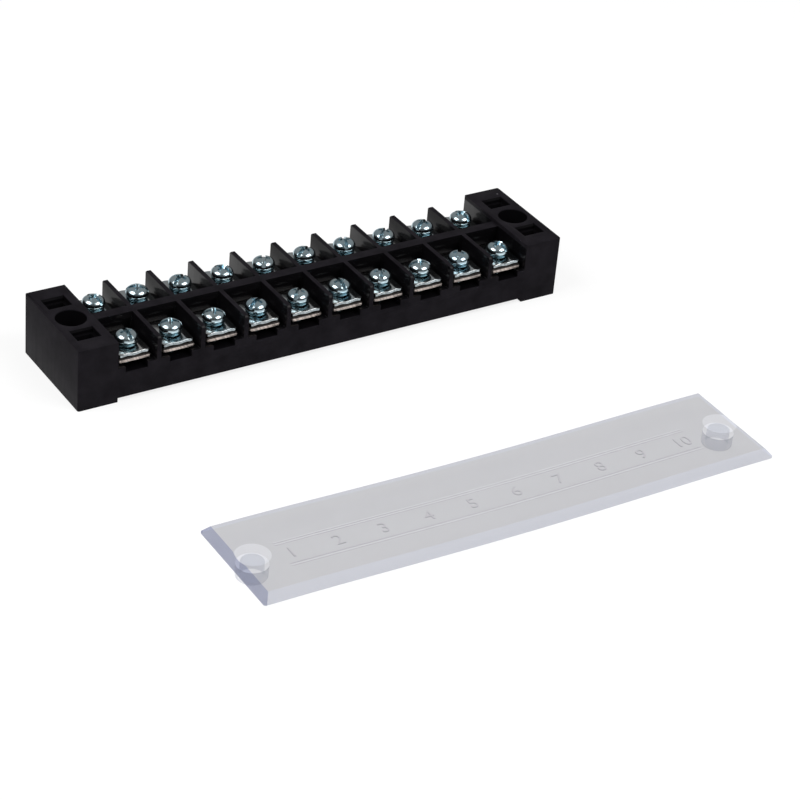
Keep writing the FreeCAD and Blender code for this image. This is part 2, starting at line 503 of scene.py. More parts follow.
def rounded_rectangle(half_x, half_y, radius, steps):
    """Counterclockwise outline of a rectangle, its corners arcs of (steps + 1) points each."""
    x, y = half_x - radius, half_y - radius
    centre_x = np.repeat([x, -x, -x, x], steps + 1)
    centre_y = np.repeat([y, y, -y, -y], steps + 1)
    share = np.tile(np.linspace(0, 1, steps + 1), 4) + np.repeat(np.arange(4), steps + 1)
    angle = share * math.pi / 2
    return np.stack(
        [centre_x + radius * np.cos(angle), centre_y + radius * np.sin(angle)], axis=-1
    )


def slab_points(half_x, half_y, corner, profile, steps=6):
    """Rings of a slab with rounded corners: ring i is the outline drawn in by inset i, at height i.

    Drawing it in takes as much off the corners' radius, down to a tenth of it.
    """
    rings = []
    for inset, height in profile:
        radius = max(corner - inset, 0.1 * corner)
        ring = rounded_rectangle(half_x - inset, half_y - inset, radius, steps)
        rings.append(np.column_stack([ring, np.full(len(ring), height)]))
    return np.stack(rings)


# Nodes


def add_node(tree, kind, inputs=None, **settings):
    """A node with its settings and inputs; an input is a value, or a socket linked to it."""
    node = tree.nodes.new(kind)
    for key, value in settings.items():
        setattr(node, key, value)
    for key, value in (inputs or {}).items():
        if isinstance(value, bpy.types.NodeSocket):
            tree.links.new(value, node.inputs[key])
        else:
            node.inputs[key].default_value = value
    return node


def math_node(tree, operation, first, second=0.0):
    """The result of one step of arithmetic."""
    inputs = {0: first, 1: second}
    return add_node(tree, "ShaderNodeMath", inputs, operation=operation).outputs[0]


def product(tree, first, *others):
    """Several values or masks multiplied."""
    for other in others:
        first = math_node(tree, "MULTIPLY", first, other)
    return first


def remapped(tree, value, low, high, new_low=0.0, new_high=1.0):
    """A value moved from one range to another and held inside it."""
    ends = {"From Min": low, "From Max": high, "To Min": new_low, "To Max": new_high}
    return add_node(tree, "ShaderNodeMapRange", {"Value": value, **ends}).outputs[0]


def ranged(tree, share, low, high):
    """The value that lies a share of the way from low to high."""
    return remapped(tree, share, 0.0, 1.0, low, high)


def within(tree, value, high, blur):
    """A mask that is 1 up to a bound and fades out over a blur beyond it."""
    return remapped(tree, value, high, high + blur, 1.0, 0.0)


def between(tree, value, low, high, blur):
    """A mask that is 1 between two bounds and fades out over a blur beyond them."""
    return product(tree, remapped(tree, value, low - blur, low), within(tree, value, high, blur))


def mixed_colour(tree, share, first, second):
    """A colour between two others."""
    inputs = {0: share, 6: first, 7: second}
    return add_node(tree, "ShaderNodeMix", inputs, data_type="RGBA").outputs[2]


def noise_value(tree, place, scale, **settings):
    """Noise at a place, with a mean of about a half."""
    inputs = {"Vector": place, "Scale": scale, **settings}
    return add_node(tree, "ShaderNodeTexNoise", inputs).outputs[0]


def slanting(tree, place, angle):
    """A place turned about Y, for a pattern that doesn't run upright."""
    inputs = {"Vector": place, "Rotation": (0.0, angle, 0.0)}
    return add_node(tree, "ShaderNodeMapping", inputs).outputs[0]


def own_value(tree, name):
    """The mesh's own attribute of that name."""
    return add_node(tree, "ShaderNodeAttribute", attribute_name=name).outputs["Fac"]


def upright_share(tree):
    """How nearly a face looks straight up or down: 0 for a wall and 1 for a level face."""
    normal = add_node(tree, "ShaderNodeNewGeometry").outputs["True Normal"]
    upward = add_node(tree, "ShaderNodeSeparateXYZ", {0: normal}).outputs[2]
    return math_node(tree, "ABSOLUTE", upward)


def opaque(colour, factor=1.0):
    """A colour with full alpha, its channels multiplied by one factor or by three."""
    return (*np.minimum(np.array(colour) * factor, 1.0), 1.0)


# Effects that several materials share


def new_group(name, output, **defaults):
    """An empty node group: a Vector and numbers with defaults go in, and one value comes out."""
    tree = bpy.data.node_groups.new(name, "ShaderNodeTree")
    tree.interface.new_socket("Vector", in_out="INPUT", socket_type="NodeSocketVector")
    for label, default in defaults.items():
        socket = tree.interface.new_socket(
            label.replace("_", " "), in_out="INPUT", socket_type="NodeSocketFloat"
        )
        socket.default_value = default
    tree.interface.new_socket(output, in_out="OUTPUT", socket_type="NodeSocketFloat")
    source = tree.nodes.new("NodeGroupInput")
    sink = tree.nodes.new("NodeGroupOutput")
    return tree, source.outputs, sink


def uneven_group():
    """Group: a slow, cloudy value between Low and High, for colour and gloss that aren't even."""
    tree, given, sink = new_group("Uneven tone", "Value", Scale=120.0, Low=0.0, High=1.0)
    noise = noise_value(tree, given["Vector"], given["Scale"], Detail=4.0, Roughness=0.6)
    value = remapped(tree, noise, 0.32, 0.68, given["Low"], given["High"])
    tree.links.new(value, sink.inputs["Value"])
    return tree


def grain_group():
    """Group: the height of a fine grain with slower waves under it."""
    tree, given, sink = new_group(
        "Surface grain", "Height", Grain_scale=2500.0, Wave_scale=200.0, Wave_share=0.5
    )
    fine = noise_value(tree, given["Vector"], given["Grain scale"], Detail=3.0)
    slow = noise_value(tree, given["Vector"], given["Wave scale"], Detail=1.0)
    inputs = {0: given["Wave share"], 2: fine, 3: slow}
    height = add_node(tree, "ShaderNodeMix", inputs, data_type="FLOAT").outputs[0]
    tree.links.new(height, sink.inputs["Height"])
    return tree


def specks_group():
    """Group: a mask of a few tiny specks, where a cell's centre is near and its draw is low."""
    tree, given, sink = new_group("Specks", "Mask", Scale=400.0, Share=0.05, Size=0.2)
    cells = add_node(
        tree, "ShaderNodeTexVoronoi", {"Vector": given["Vector"], "Scale": given["Scale"]}
    )
    near = math_node(tree, "LESS_THAN", cells.outputs["Distance"], given["Size"])
    draw = add_node(tree, "ShaderNodeSeparateColor", {0: cells.outputs["Color"]}).outputs[0]
    rare = math_node(tree, "LESS_THAN", draw, given["Share"])
    tree.links.new(product(tree, near, rare), sink.inputs["Mask"])
    return tree


def streaks_group():
    """Group: a mask of fine streaks, noise drawn out along the given vector's last axis."""
    tree, given, sink = new_group("Streaks", "Mask", Scale=900.0, Low=0.45, High=0.7)
    drawing_out = (1.0, 1.0, 0.06)
    drawn = add_node(
        tree, "ShaderNodeVectorMath", {0: given["Vector"], 1: drawing_out}, operation="MULTIPLY"
    ).outputs[0]
    noise = noise_value(tree, drawn, given["Scale"], Detail=2.0)
    mask = remapped(tree, noise, given["Low"], given["High"])
    tree.links.new(mask, sink.inputs["Mask"])
    return tree


GROUP_MAKERS = {
    "Uneven tone": uneven_group,
    "Surface grain": grain_group,
    "Specks": specks_group,
    "Streaks": streaks_group,
}


def shared(tree, name, place, **values):
    """What a shared group gives at a place with a material's own values; it is built only once."""
    group = bpy.data.node_groups.get(name) or GROUP_MAKERS[name]()
    inputs = {"Vector": place}
    inputs.update({key.replace("_", " "): value for key, value in values.items()})
    return add_node(tree, "ShaderNodeGroup", inputs, node_tree=group).outputs[0]


def shear_marks(tree, place, scale, low, high):
    """A mask of the slanting marks that a shear leaves on a cut face."""
    slanted = slanting(tree, place, SHEAR_SLANT)
    return shared(tree, "Streaks", slanted, Scale=scale, Low=low, High=high)


# Materials


def new_material(name, **plain):
    """A material with a Principled BSDF, its plain sockets set, and the object's coordinates."""
    material = bpy.data.materials.new(name)
    material.use_nodes = True
    tree = material.node_tree
    shader = tree.nodes["Principled BSDF"]
    for key, value in plain.items():
        shader.inputs[key.replace("_", " ")].default_value = value
    place = add_node(tree, "ShaderNodeTexCoord").outputs["Object"]
    return material, tree, shader, place


def feed(tree, shader, **values):
    """Links values that change over the surface to the shader's sockets."""
    for key, value in values.items():
        tree.links.new(value, shader.inputs[key.replace("_", " ")])


def add_bump(tree, shader, height, distance, strength):
    """Bump from a height, into the shader's normal."""
    inputs = {"Height": height, "Distance": distance, "Strength": strength}
    feed(tree, shader, Normal=add_node(tree, "ShaderNodeBump", inputs).outputs[0])


def moulding_material(settings):
    """Black moulded plastic: fine grain, cloudy colour, streaks of gloss and a few dust specks.

    The cells between the end blocks carry painted shade and are smoother than the outside, and the
    sockets, pockets and notches carry the same painted shade.
    """
    material, tree, shader, place = new_material(
        "black_moulding", Specular_IOR_Level=0.011, Coat_Roughness=0.12, Coat_IOR=1.3
    )
    blur = 0.05 * MM
    skin = 0.3 * MM
    x_end, y_end, top = (high - skin for high in STRIP_HIGH)
    cell_side = STRIP_HIGH.y - 0.1 * MM
    cell_floor = PLATE_LOW.z - 0.6 * MM
    axes = add_node(tree, "ShaderNodeSeparateXYZ", {0: place}).outputs
    along = math_node(tree, "ABSOLUTE", axes[0])
    across = math_node(tree, "ABSOLUTE", axes[1])
    poles = within(tree, along, settings.cell_end, blur)
    cell = product(
        tree, poles, within(tree, across, cell_side, blur),
        between(tree, axes[2], cell_floor, settings.cell_top, blur),
    )
    in_block = product(
        tree, within(tree, axes[2], top, blur),
        between(tree, along, settings.cell_end + skin, x_end, blur),
    )
    in_cell = product(tree, poles, within(tree, axes[2], settings.cell_top, blur))
    inside = product(
        tree, within(tree, across, y_end, blur), math_node(tree, "MAXIMUM", in_block, in_cell)
    )
    # This mask covers the cells, sockets, pockets and notches, which take painted shade
    hollow = math_node(tree, "MAXIMUM", cell, inside)
    tone = shared(tree, "Uneven tone", place, Scale=180.0)
    streaks = shared(tree, "Streaks", place, Scale=700.0)
    specks = shared(tree, "Specks", place, Scale=330.0, Share=0.03, Size=0.09)
    lighter = opaque(settings.colour, 1.7)
    # The darker colour below is the painted shade in those hollows
    darker = opaque(settings.colour, 0.35)
    cloudy = mixed_colour(tree, tone, opaque(settings.colour), lighter)
    # Painted shade darkens the hollows here
    shade_in_hollows = mixed_colour(tree, hollow, cloudy, darker)
    dusty = mixed_colour(tree, product(tree, specks, 0.5), shade_in_hollows, opaque(settings.dust))
    feed(
        tree, shader, Base_Color=dusty, Roughness=ranged(tree, streaks, 0.34, 0.40),
        Coat_Weight=product(tree, cell, 0.4),
    )
    grain = shared(
        tree, "Surface grain", place, Grain_scale=3200.0, Wave_scale=260.0, Wave_share=0.55
    )
    add_bump(tree, shader, grain, 0.05 * MM, 0.22)
    return material


def contact_material(settings):
    """Plated contact bar: warm and satin, with a shear's slanting marks across its cut ends.

    The level faces are greyer, and the rolled edge over the cut, which slopes, is painted dark as
    the shadow under its washer.
    """
    material, tree, shader, place = new_material("contact_plating", Metallic=1.0)
    grey = opaque((0.42, 0.41, 0.40))
    # The near-black colour below is painted shadow: the washer's shade on the rolled edge
    roll_shadow = opaque((0.02, 0.018, 0.018))
    darker = opaque(settings.colour, 0.4)
    slope = upright_share(tree)
    level = remapped(tree, slope, 0.9, 0.97)
    sloping = math_node(tree, "SUBTRACT", 1.0, level)
    # This mask covers the sloping rolled edge, which takes the painted shadow
    rolled = product(tree, remapped(tree, slope, 0.15, 0.35), sloping)
    marks = shear_marks(tree, place, 2600.0, 0.38, 0.62)
    tone = shared(tree, "Uneven tone", place, Scale=160.0)
    plain = mixed_colour(tree, level, opaque(settings.colour), opaque(settings.top_colour))
    worn = mixed_colour(tree, product(tree, marks, 0.8), plain, darker)
    cloudy = mixed_colour(tree, product(tree, tone, 0.35), worn, grey)
    gloss = product(tree, ranged(tree, marks, 0.30, 0.46), ranged(tree, level, 1.0, 0.4))
    # The rolled edge gets its painted shadow here
    plated = mixed_colour(tree, rolled, cloudy, roll_shadow)
    feed(tree, shader, Base_Color=plated, Roughness=gloss)
    add_bump(tree, shader, marks, 0.03 * MM, 0.7)
    return material


def zinc_material(name, colour, gloss, ripple_height, cut_share=0.0):
    """Bright zinc plating: blue-grey with warmer patches, uneven gloss and slight ripples.

    The walls, as far as the share asks for it, are darker and streaked as a shear leaves them.
    """
    material, tree, shader, place = new_material(name, Metallic=1.0)
    warmer = opaque(colour, (1.16, 1.02, 0.94))
    tone = shared(tree, "Uneven tone", place, Scale=420.0)
    slow = shared(tree, "Uneven tone", place, Scale=130.0)
    tinted = mixed_colour(tree, slow, opaque(colour), warmer)
    if cut_share:
        marks = shear_marks(tree, place, 2200.0, 0.36, 0.64)
        wall = remapped(tree, upright_share(tree), 0.5, 0.2, 0.0, cut_share)
        cut = mixed_colour(tree, marks, opaque(colour, 0.9), opaque(colour, 0.5))
        tinted = mixed_colour(tree, wall, tinted, cut)
    feed(tree, shader, Base_Color=tinted, Roughness=ranged(tree, tone, *gloss))
    ripple = shared(
        tree, "Surface grain", place, Grain_scale=2400.0, Wave_scale=650.0, Wave_share=0.8
    )
    add_bump(tree, shader, ripple, ripple_height, 1.0)
    return material


def cover_material(settings):
    """Clear plastic: faint flow lines along its length, and a bluer tint in the sloping edges.

    It hardly bends light, so that it stays clear from low down, and a coat gives it its gloss. The
    light and shade that its edges and marks would get from bending light are painted into its tint:
    the long edges are lighter as painted light, the left end is darker as painted shade, the lines
    are lighter as a painted highlight and the figures darker as painted shade. Its plain tint is
    partly the cover's own shadow on the floor under it, painted in. The mesh's own attributes say
    what each face belongs to (0 to a peg or dish, 1 to the plate, 2 to its edges and 3 to its left
    end) and where the marks are (1 on the lines and -1 on the figures).
    """
    material, tree, shader, place = new_material(
        "clear_plastic_sheet", IOR=1.001, Transmission_Weight=1.0, Metallic=0.0,
        Coat_IOR=1.3, Coat_Roughness=0.05,
    )
    peg_tint = opaque((0.77, 0.78, 0.815))
    streak_tint = opaque(settings.colour, 0.95)
    # The raised lines are tinted lighter as a painted highlight, and the raised figures darker as
    # painted shade
    line_highlight_tint = opaque(settings.colour, 1.35)
    figure_shade_tint = opaque(settings.colour, 0.86)
    region = own_value(tree, "region")
    on_plate = remapped(tree, region, 0.0, 1.0)
    sides = remapped(tree, region, 1.0, 2.0)
    ends = remapped(tree, region, 2.0, 3.0)
    lengthways = slanting(tree, place, math.radians(90.0))
    flow = shared(tree, "Streaks", lengthways, Scale=95.0, Low=0.3, High=0.75)
    # The plain tint is partly the cover's own shadow on the floor under it, painted in
    tint = mixed_colour(tree, flow, opaque(settings.colour), streak_tint)
    # The long bevels get painted light and the left end's bevel painted shade
    tint = mixed_colour(tree, sides, tint, opaque(settings.side_light_tint))
    tint = mixed_colour(tree, ends, tint, opaque(settings.end_shade_tint))
    marks = own_value(tree, "mark")
    lines = math_node(tree, "MAXIMUM", marks, 0.0)
    figures = math_node(tree, "MAXIMUM", product(tree, marks, -1.0), 0.0)
    # Painted highlight on the lines, then painted shade on the figures
    tint = mixed_colour(tree, lines, tint, line_highlight_tint)
    tint = mixed_colour(tree, figures, tint, figure_shade_tint)
    tint = mixed_colour(tree, on_plate, peg_tint, tint)
    feed(
        tree, shader, Base_Color=tint, Coat_Weight=ranged(tree, sides, 0.75, 0.15),
        Roughness=shared(tree, "Uneven tone", place, Scale=70.0, Low=0.03, High=0.09),
    )
    waves = shared(
        tree, "Surface grain", place, Grain_scale=500.0, Wave_scale=90.0, Wave_share=0.85
    )
    add_bump(tree, shader, waves, 0.08 * MM, 0.5)
    return material


def floor_material(base):
    """White floor: it shows white to the camera, metal and clear plastic, less the shadow on it.

    Its glow isn't sampled as a lamp, because only those rays see it.
    """
    material = bpy.data.materials.new("pale_floor")
    material.use_nodes = True
    material.cycles.emission_sampling = "NONE"
    tree = material.node_tree
    tree.nodes.clear()
    path = add_node(tree, "ShaderNodeLightPath").outputs
    seen = math_node(tree, "MAXIMUM", path["Is Camera Ray"], path["Is Glossy Ray"])
    seen = math_node(tree, "MAXIMUM", seen, path["Is Transmission Ray"])
    glow = add_node(
        tree, "ShaderNodeEmission", {"Color": WHITE, "Strength": product(tree, seen, base)}
    )
    reflected = opaque((0.8, 0.8, 0.8))
    shadowed = opaque((1.15, 1.15, 1.15), 1.0 - base)
    matte = add_node(tree, "ShaderNodeBsdfDiffuse", {"Color": reflected})
    faint = add_node(tree, "ShaderNodeBsdfDiffuse", {"Color": shadowed})
    shares = {0: seen, 1: matte.outputs[0], 2: faint.outputs[0]}
    lit = add_node(tree, "ShaderNodeMixShader", shares)
    both = add_node(tree, "ShaderNodeAddShader", {0: glow.outputs[0], 1: lit.outputs[0]})
    add_node(tree, "ShaderNodeOutputMaterial", {"Surface": both.outputs[0]})
    return material


# Operators


def direction(azimuth, elevation):
    """Unit vector towards an azimuth, counted from the front, and an elevation."""
    level = math.cos(elevation)
    return Vector((level * math.sin(azimuth), -level * math.cos(azimuth), math.sin(elevation)))


class STRIP_OT_stage(bpy.types.Operator):
    """Makes the camera, the lamps, the plain surroundings and the white floor"""

    bl_idname = "strip.stage"
    bl_label = "Stage"

    def execute(self, context):
        settings = context.scene.strip_stage
        self.add_camera(context, settings)
        self.add_lamps(settings)
        self.add_surroundings(context, settings)
        self.add_floor(settings)
        return {"FINISHED"}

    def add_camera(self, context, settings):
        """Camera whose back, right and up directions come from its azimuth, elevation and roll."""
        back = direction(settings.azimuth, settings.elevation)
        side = Vector((math.cos(settings.azimuth), math.sin(settings.azimuth), 0.0))
        above = back.cross(side)
        right = side * math.cos(settings.roll) + above * math.sin(settings.roll)
        up = above * math.cos(settings.roll) - side * math.sin(settings.roll)
        camera = new_object("camera", bpy.data.cameras.new("camera"))
        camera.data.lens = settings.lens
        camera.data.sensor_width = 36.0
        camera.data.clip_start = 0.01
        facing = Matrix((right, up, back)).transposed()
        camera.matrix_world = Matrix.Translation(settings.place) @ facing.to_4x4()
        context.scene.camera = camera

    def add_lamps(self, settings):
        """Two wide soft lamps, high at the left and right of the camera."""
        target = Vector((0.0, -0.04, 0.0))
        distance = 1.2
        elevation = math.radians(50.0)
        for name, azimuth in (("lamp_left", -98.0), ("lamp_right", 34.0)):
            data = bpy.data.lights.new(name, "AREA")
            data.shape = "RECTANGLE"
            data.size = 0.8
            data.size_y = 0.62
            data.energy = settings.lamp_power
            away = direction(math.radians(azimuth), elevation)
            facing = away.to_track_quat("Z", "Y").to_matrix()
            lamp = new_object(name, data)
            lamp.matrix_world = Matrix.Translation(target + away * distance) @ facing.to_4x4()

    def add_surroundings(self, context, settings):
        """Plain surroundings whose brightness rises towards what is above and behind the strip.

        It rises with a direction's share along one that points up and away from the camera. Clear
        plastic shows the surroundings white, as the floor.
        """
        lightest = (0.42, 0.62, 0.66)
        world = bpy.data.worlds.new("plain_sky")
        world.use_nodes = True
        tree = world.node_tree
        seen = add_node(tree, "ShaderNodeTexCoord").outputs["Generated"]
        share = add_node(
            tree, "ShaderNodeVectorMath", {0: seen, 1: lightest}, operation="DOT_PRODUCT"
        ).outputs["Value"]
        level = remapped(tree, share, 0.0, 0.85, settings.sky_front, settings.sky_back)
        through = add_node(tree, "ShaderNodeLightPath").outputs["Is Transmission Ray"]
        background = tree.nodes["Background"]
        background.inputs["Color"].default_value = WHITE
        tree.links.new(math_node(tree, "MAXIMUM", level, through), background.inputs["Strength"])
        context.scene.world = world
        context.scene.view_settings.view_transform = "Standard"

    def add_floor(self, settings):
        """A square floor at the height of the feet."""
        half = settings.floor_size / 2
        x, y = np.meshgrid([-half, half], [-half, half])
        points = np.stack([x, y, 0 * x], axis=-1)
        mesh = new_mesh("floor", points, grid_quads(2, 2, close_columns=False))
        floor = new_object("floor", mesh)
        mesh.materials.append(floor_material(settings.floor_base))


class STRIP_OT_moulding(bpy.types.Operator):
    """Makes the black moulding, its edges rounded"""

    bl_idname = "strip.moulding"
    bl_label = "Moulding"

    def execute(self, context):
        settings = context.scene.strip_moulding
        touching = 0.002 * MM
        flat = math.radians(0.3)
        mesh = merged(frame["nodes"]["housing"].data, touching, flat)
        mesh = bevelled(mesh, settings.edge_radius, math.radians(35.0))
        shade(mesh, math.radians(30.0))
        piece = new_piece("moulding", mesh, moulding_material(settings))
        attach(piece, "strip")
        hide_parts("housing")
        return {"FINISHED"}


class STRIP_OT_contacts(bpy.types.Operator):
    """Makes the plated contact bars"""

    bl_idname = "strip.contacts"
    bl_label = "Contact bars"

    def bar(self, settings):
        """A bar over the origin, its upper edge rolled over, with a hole under each screw."""
        half_x = (PLATE_HIGH.x - PLATE_LOW.x) / 2
        half_y = (PLATE_HIGH.y - PLATE_LOW.y) / 2
        low, high = PLATE_LOW.z, PLATE_HIGH.z
        burr = 0.12 * MM
        profile = rounded(
            [
                (2 * burr, low), (0.0, low), (0.0, high - settings.roll_depth),
                (settings.roll_width, high), (settings.roll_width + burr, high),
            ],
            [0, burr, burr, burr / 2, 0], 4,
        )
        blank = tube_mesh("bar", slab_points(half_x, half_y, settings.corner, profile))
        reach = (high - low) / 2
        radius = settings.hole_radius
        columns = 40
        ends = [(radius, low - reach), (radius, high + reach)]
        drill = tube_mesh("drill", turned(ends, columns))
        offset = abs(middle("screw_front_01", 1))
        drills = joined("drills", [
            transformed(drill, Matrix.Translation((0, y, 0)), "drill") for y in (-offset, offset)
        ])
        return cut_or_joined(blank, [("DIFFERENCE", drills)])

    def execute(self, context):
        settings = context.scene.strip_contacts
        material = contact_material(settings)
        bar = self.bar(settings)
        shade(bar, math.radians(40.0))
        for index in range(POLES):
            number = "%02d" % (index + 1)
            node = "terminal_plate_" + number
            place = Matrix.Translation((middle(node, 0), 0.0, 0.0))
            name = "contact_bar_" + number
            piece = new_piece(name, transformed(bar, place, name), material)
            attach(piece, "strip")
            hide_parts(node)
        return {"FINISHED"}


class STRIP_OT_washers(bpy.types.Operator):
    """Makes a square washer and a split spring washer for each screw"""

    bl_idname = "strip.washers"
    bl_label = "Washers"

    def square_washer(self, settings):
        """Washer on the Z axis, its section carried round between round hole and square outline.

        Point (u, v) is hole(u) (1 - s) + outline(u) s, with s and the height from a rounded
        section, and stands ridge (1 - cos(4 pi x / width)) / 2 higher, which makes the two
        ridges. The outline is (half width, half length) times
        (cos t, sin t) / (|cos t| ** n + |sin t| ** n) ** (1 / n).
        """
        columns = 112
        squareness = 14.0
        angle = (np.arange(columns) + 0.5) / columns * FULL_TURN
        outward = np.stack([np.cos(angle), np.sin(angle)], axis=-1)
        reach = (np.abs(outward) ** squareness).sum(axis=-1) ** (-1 / squareness)
        half = np.array([settings.width / 2, settings.length / 2])
        hole = outward * settings.hole_radius
        outline = outward * reach[:, None] * half
        share, height = self.square_section(settings)
        flat = hole[None] * (1 - share[..., None]) + outline[None] * share[..., None]
        wave = np.cos(2 * FULL_TURN * flat[..., 0] / settings.width)
        height = CLAMP_LOW.z + height + settings.ridge * (1 - wave) / 2
        points = np.concatenate([flat, height[..., None]], axis=-1)
        return new_mesh("square_washer", points, grid_quads(len(points), columns, close_rows=True))

    def square_section(self, settings):
        """Each ring's share of the way out and its height: rounded corners, and rings on a face."""
        steps = 3
        corner = steps + 1
        edge = 0.16 * settings.thickness
        wide = settings.width / 2 - settings.hole_radius
        section = rounded(
            [(0, 0), (wide, 0), (wide, settings.thickness), (0, settings.thickness)],
            [edge] * 4, steps, closed=True,
        )
        spread = np.linspace(0, 1, 10)[1:-1, None] * (wide - 2 * edge)
        level = 0 * spread
        lower = np.column_stack([edge + spread, level])
        upper = np.column_stack([wide - edge - spread, level + settings.thickness])
        section = np.concatenate([
            section[:corner], lower, section[corner:3 * corner], upper, section[3 * corner:],
        ])
        return section[:, :1] / wide, section[:, 1:]

    def spring_washer(self, settings):
        """Spring washer on the Z axis: a rounded section on a helix that stops short of a turn.

        Point (u, v) is at angle t(u) + lean b(v), radius r + a(v) and height rise u + b(v), where
        a and b are the section's own width and height.
        """
        rings = 73
        gap = math.radians(16.0)
        lean = 0.35 / settings.spring_outer
        wide = settings.spring_outer - settings.spring_inner
        tall = settings.spring_thickness
        edge = 0.3 * tall
        section = rounded([(0, 0), (0, tall), (wide, tall), (wide, 0)], [edge] * 4, 3, closed=True)
        share = np.linspace(0, 1, rings)[:, None]
        angle = gap / 2 + share * (FULL_TURN - gap) + lean * (section[None, :, 1] - tall / 2)
        radius = settings.spring_inner + section[None, :, 0]
        bottom = CLAMP_HIGH.z - tall - settings.spring_rise
        height = bottom + share * settings.spring_rise + section[None, :, 1]
        points = np.stack([radius * np.cos(angle), radius * np.sin(angle), height], axis=-1)
        return tube_mesh("spring_washer", points)

    def execute(self, context):
        settings = context.scene.strip_washers
        square = self.square_washer(settings)
        spring = self.spring_washer(settings)
        shade(square, math.radians(40.0))
        shade(spring, math.radians(40.0))
        bright = zinc_material("washer_plating", settings.colour, (0.13, 0.22), 0.008 * MM, 0.9)
        dark = zinc_material("spring_plating", settings.spring_colour, (0.16, 0.28), 0.02 * MM)
        most_skew = math.radians(1.1)
        for row in ROWS:
            for index in range(POLES):
                key = "%s_%02d" % (row, index + 1)
                node = "clamp_" + key
                # A sine of the pole's number, which never repeats along the row
                unevenness = math.sin(2.3 * index + 1.0)
                place = over_base(node) @ Matrix.Rotation(most_skew * unevenness, 4, "Z")
                for kind, mesh, material in (("square", square, bright), ("spring", spring, dark)):
                    name = kind + "_washer_" + key
                    made = transformed(mesh, place, name)
                    piece = new_piece(name, made, material)
                    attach(piece, node)
                    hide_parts(node)
        return {"FINISHED"}


class STRIP_OT_screws(bpy.types.Operator):
    """Makes the terminal screws, each turned differently"""

    bl_idname = "strip.screws"
    bl_label = "Terminal screws"

    # Height at which a head stands, just clear of its spring washer
    head_bottom = CLAMP_HIGH.z + 0.03 * MM

    def shank(self, settings, angle):
        """Radii and heights of the shank's rings, from the tip up.

        The radius is crest - depth (1 - cos(2 pi (z / pitch - t / 2 pi))) / 2, a right-hand helix
        that fades out at the tip and under the head.
        """
        rings = 78
        depth = 0.32 * MM
        chamfer = 0.45 * MM
        run_out = 0.5 * MM
        tip_drop = depth + 0.1 * MM
        height = np.linspace(SCREW_TIP, self.head_bottom, rings)[:, None]
        narrow = np.clip((height - SCREW_TIP) / chamfer, 0, 1)
        fade = np.clip((self.head_bottom - height) / run_out, 0, 1) * narrow
        phase = height / settings.thread_pitch * FULL_TURN - angle
        groove = depth * (1 - np.cos(phase)) / 2 * fade
        return settings.shank_radius - (1 - narrow) * tip_drop - groove, height

    def head(self, settings):
        """Radii and heights of the head's rings, from its foot up to its crown.

        The under-edge is a quarter of an ellipse from the foot out to the widest ring, R, and the
        dome over that ring is a superellipse: (r / R) ** n + (z / height) ** n = 1.
        """
        squareness = 2.25
        crown_flat = 0.03 * MM
        rim, radius, foot = settings.rim_height, settings.head_radius, settings.foot_radius
        under = np.linspace(0, math.pi / 2, 10)
        dome = np.linspace(0, math.pi / 2, 24)[1:-1]
        dome_height = settings.head_height - rim
        radii = np.concatenate([
            foot + (radius - foot) * np.sin(under), radius * np.cos(dome) ** (2 / squareness),
            [crown_flat],
        ])
        heights = np.concatenate([
            rim * (1 - np.cos(under)), rim + dome_height * np.sin(dome) ** (2 / squareness),
            [settings.head_height],
        ])
        return radii[:, None], self.head_bottom + heights[:, None]

    def blank(self, settings):
        """Screw without its drive, on the Z axis, turned up from tip to crown."""
        columns = 56
        angle = np.linspace(0, FULL_TURN, columns, endpoint=False)
        parts = []
        for radius, height in (self.shank(settings, angle), self.head(settings)):
            parts.append(np.stack(
                [radius * np.cos(angle), radius * np.sin(angle), height + 0 * angle], axis=-1
            ))
        return tube_mesh("blank", np.concatenate(parts))

    def slot_cutter(self, settings):
        """A straight bar across the head, a tenth narrower at the slot's floor than at its top."""
        top = self.head_bottom + settings.head_height
        reach = 2 * settings.head_radius
        rings = []
        for step in (-1, 0, 1):
            height = top + step * settings.slot_depth
            half = settings.slot_width / 2 * (1 + 0.1 * step)
            corners = [(-reach, -half), (reach, -half), (reach, half), (-reach, half)]
            rings.append([(x, y, height) for x, y in corners])
        return tube_mesh("slot", np.array(rings))

    def cross_cutter(self, settings):
        """A four-winged punch that narrows towards its point, its wings shorter and shorter.

        Each ring has a depth under the crown, a wing's reach and half its width, in millimetres.
        """
        top = self.head_bottom + settings.head_height
        rings = []
        for depth, reach, half in (
            (2.0, 0.4, 0.28), (1.2, 1.0, 0.36), (0.2, 1.75, 0.44), (-0.4, 1.85, 0.46)
        ):
            a, b = reach * MM, half * MM
            outline = [
                (a, -b), (a, b), (b, b), (b, a), (-b, a), (-b, b),
                (-a, b), (-a, -b), (-b, -b), (-b, -a), (b, -a), (b, -b),
            ]
            rings.append([(x, y, top - depth * MM) for x, y in outline])
        return tube_mesh("cross", np.array(rings))

    def execute(self, context):
        settings = context.scene.strip_screws
        mesh = cut_or_joined(self.blank(settings), [
            ("DIFFERENCE", self.slot_cutter(settings)),
            ("DIFFERENCE", self.cross_cutter(settings)),
        ])
        drive_edge = 0.05 * MM
        mesh = bevelled(mesh, drive_edge, math.radians(50.0))
        shade(mesh, math.radians(35.0))
        material = zinc_material("screw_plating", settings.colour, (0.14, 0.26), 0.022 * MM)
        for index in range(POLES):
            for row in ROWS:
                node = "screw_%s_%02d" % (row, index + 1)
                turn = Matrix.Rotation(math.radians(SLOT_TURNS[row][index]), 4, "Z")
                name = "terminal_" + node
                made = transformed(mesh, over_base(node) @ turn, name)
                piece = new_piece(name, made, material)
                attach(piece, node)
                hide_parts(node)
        return {"FINISHED"}


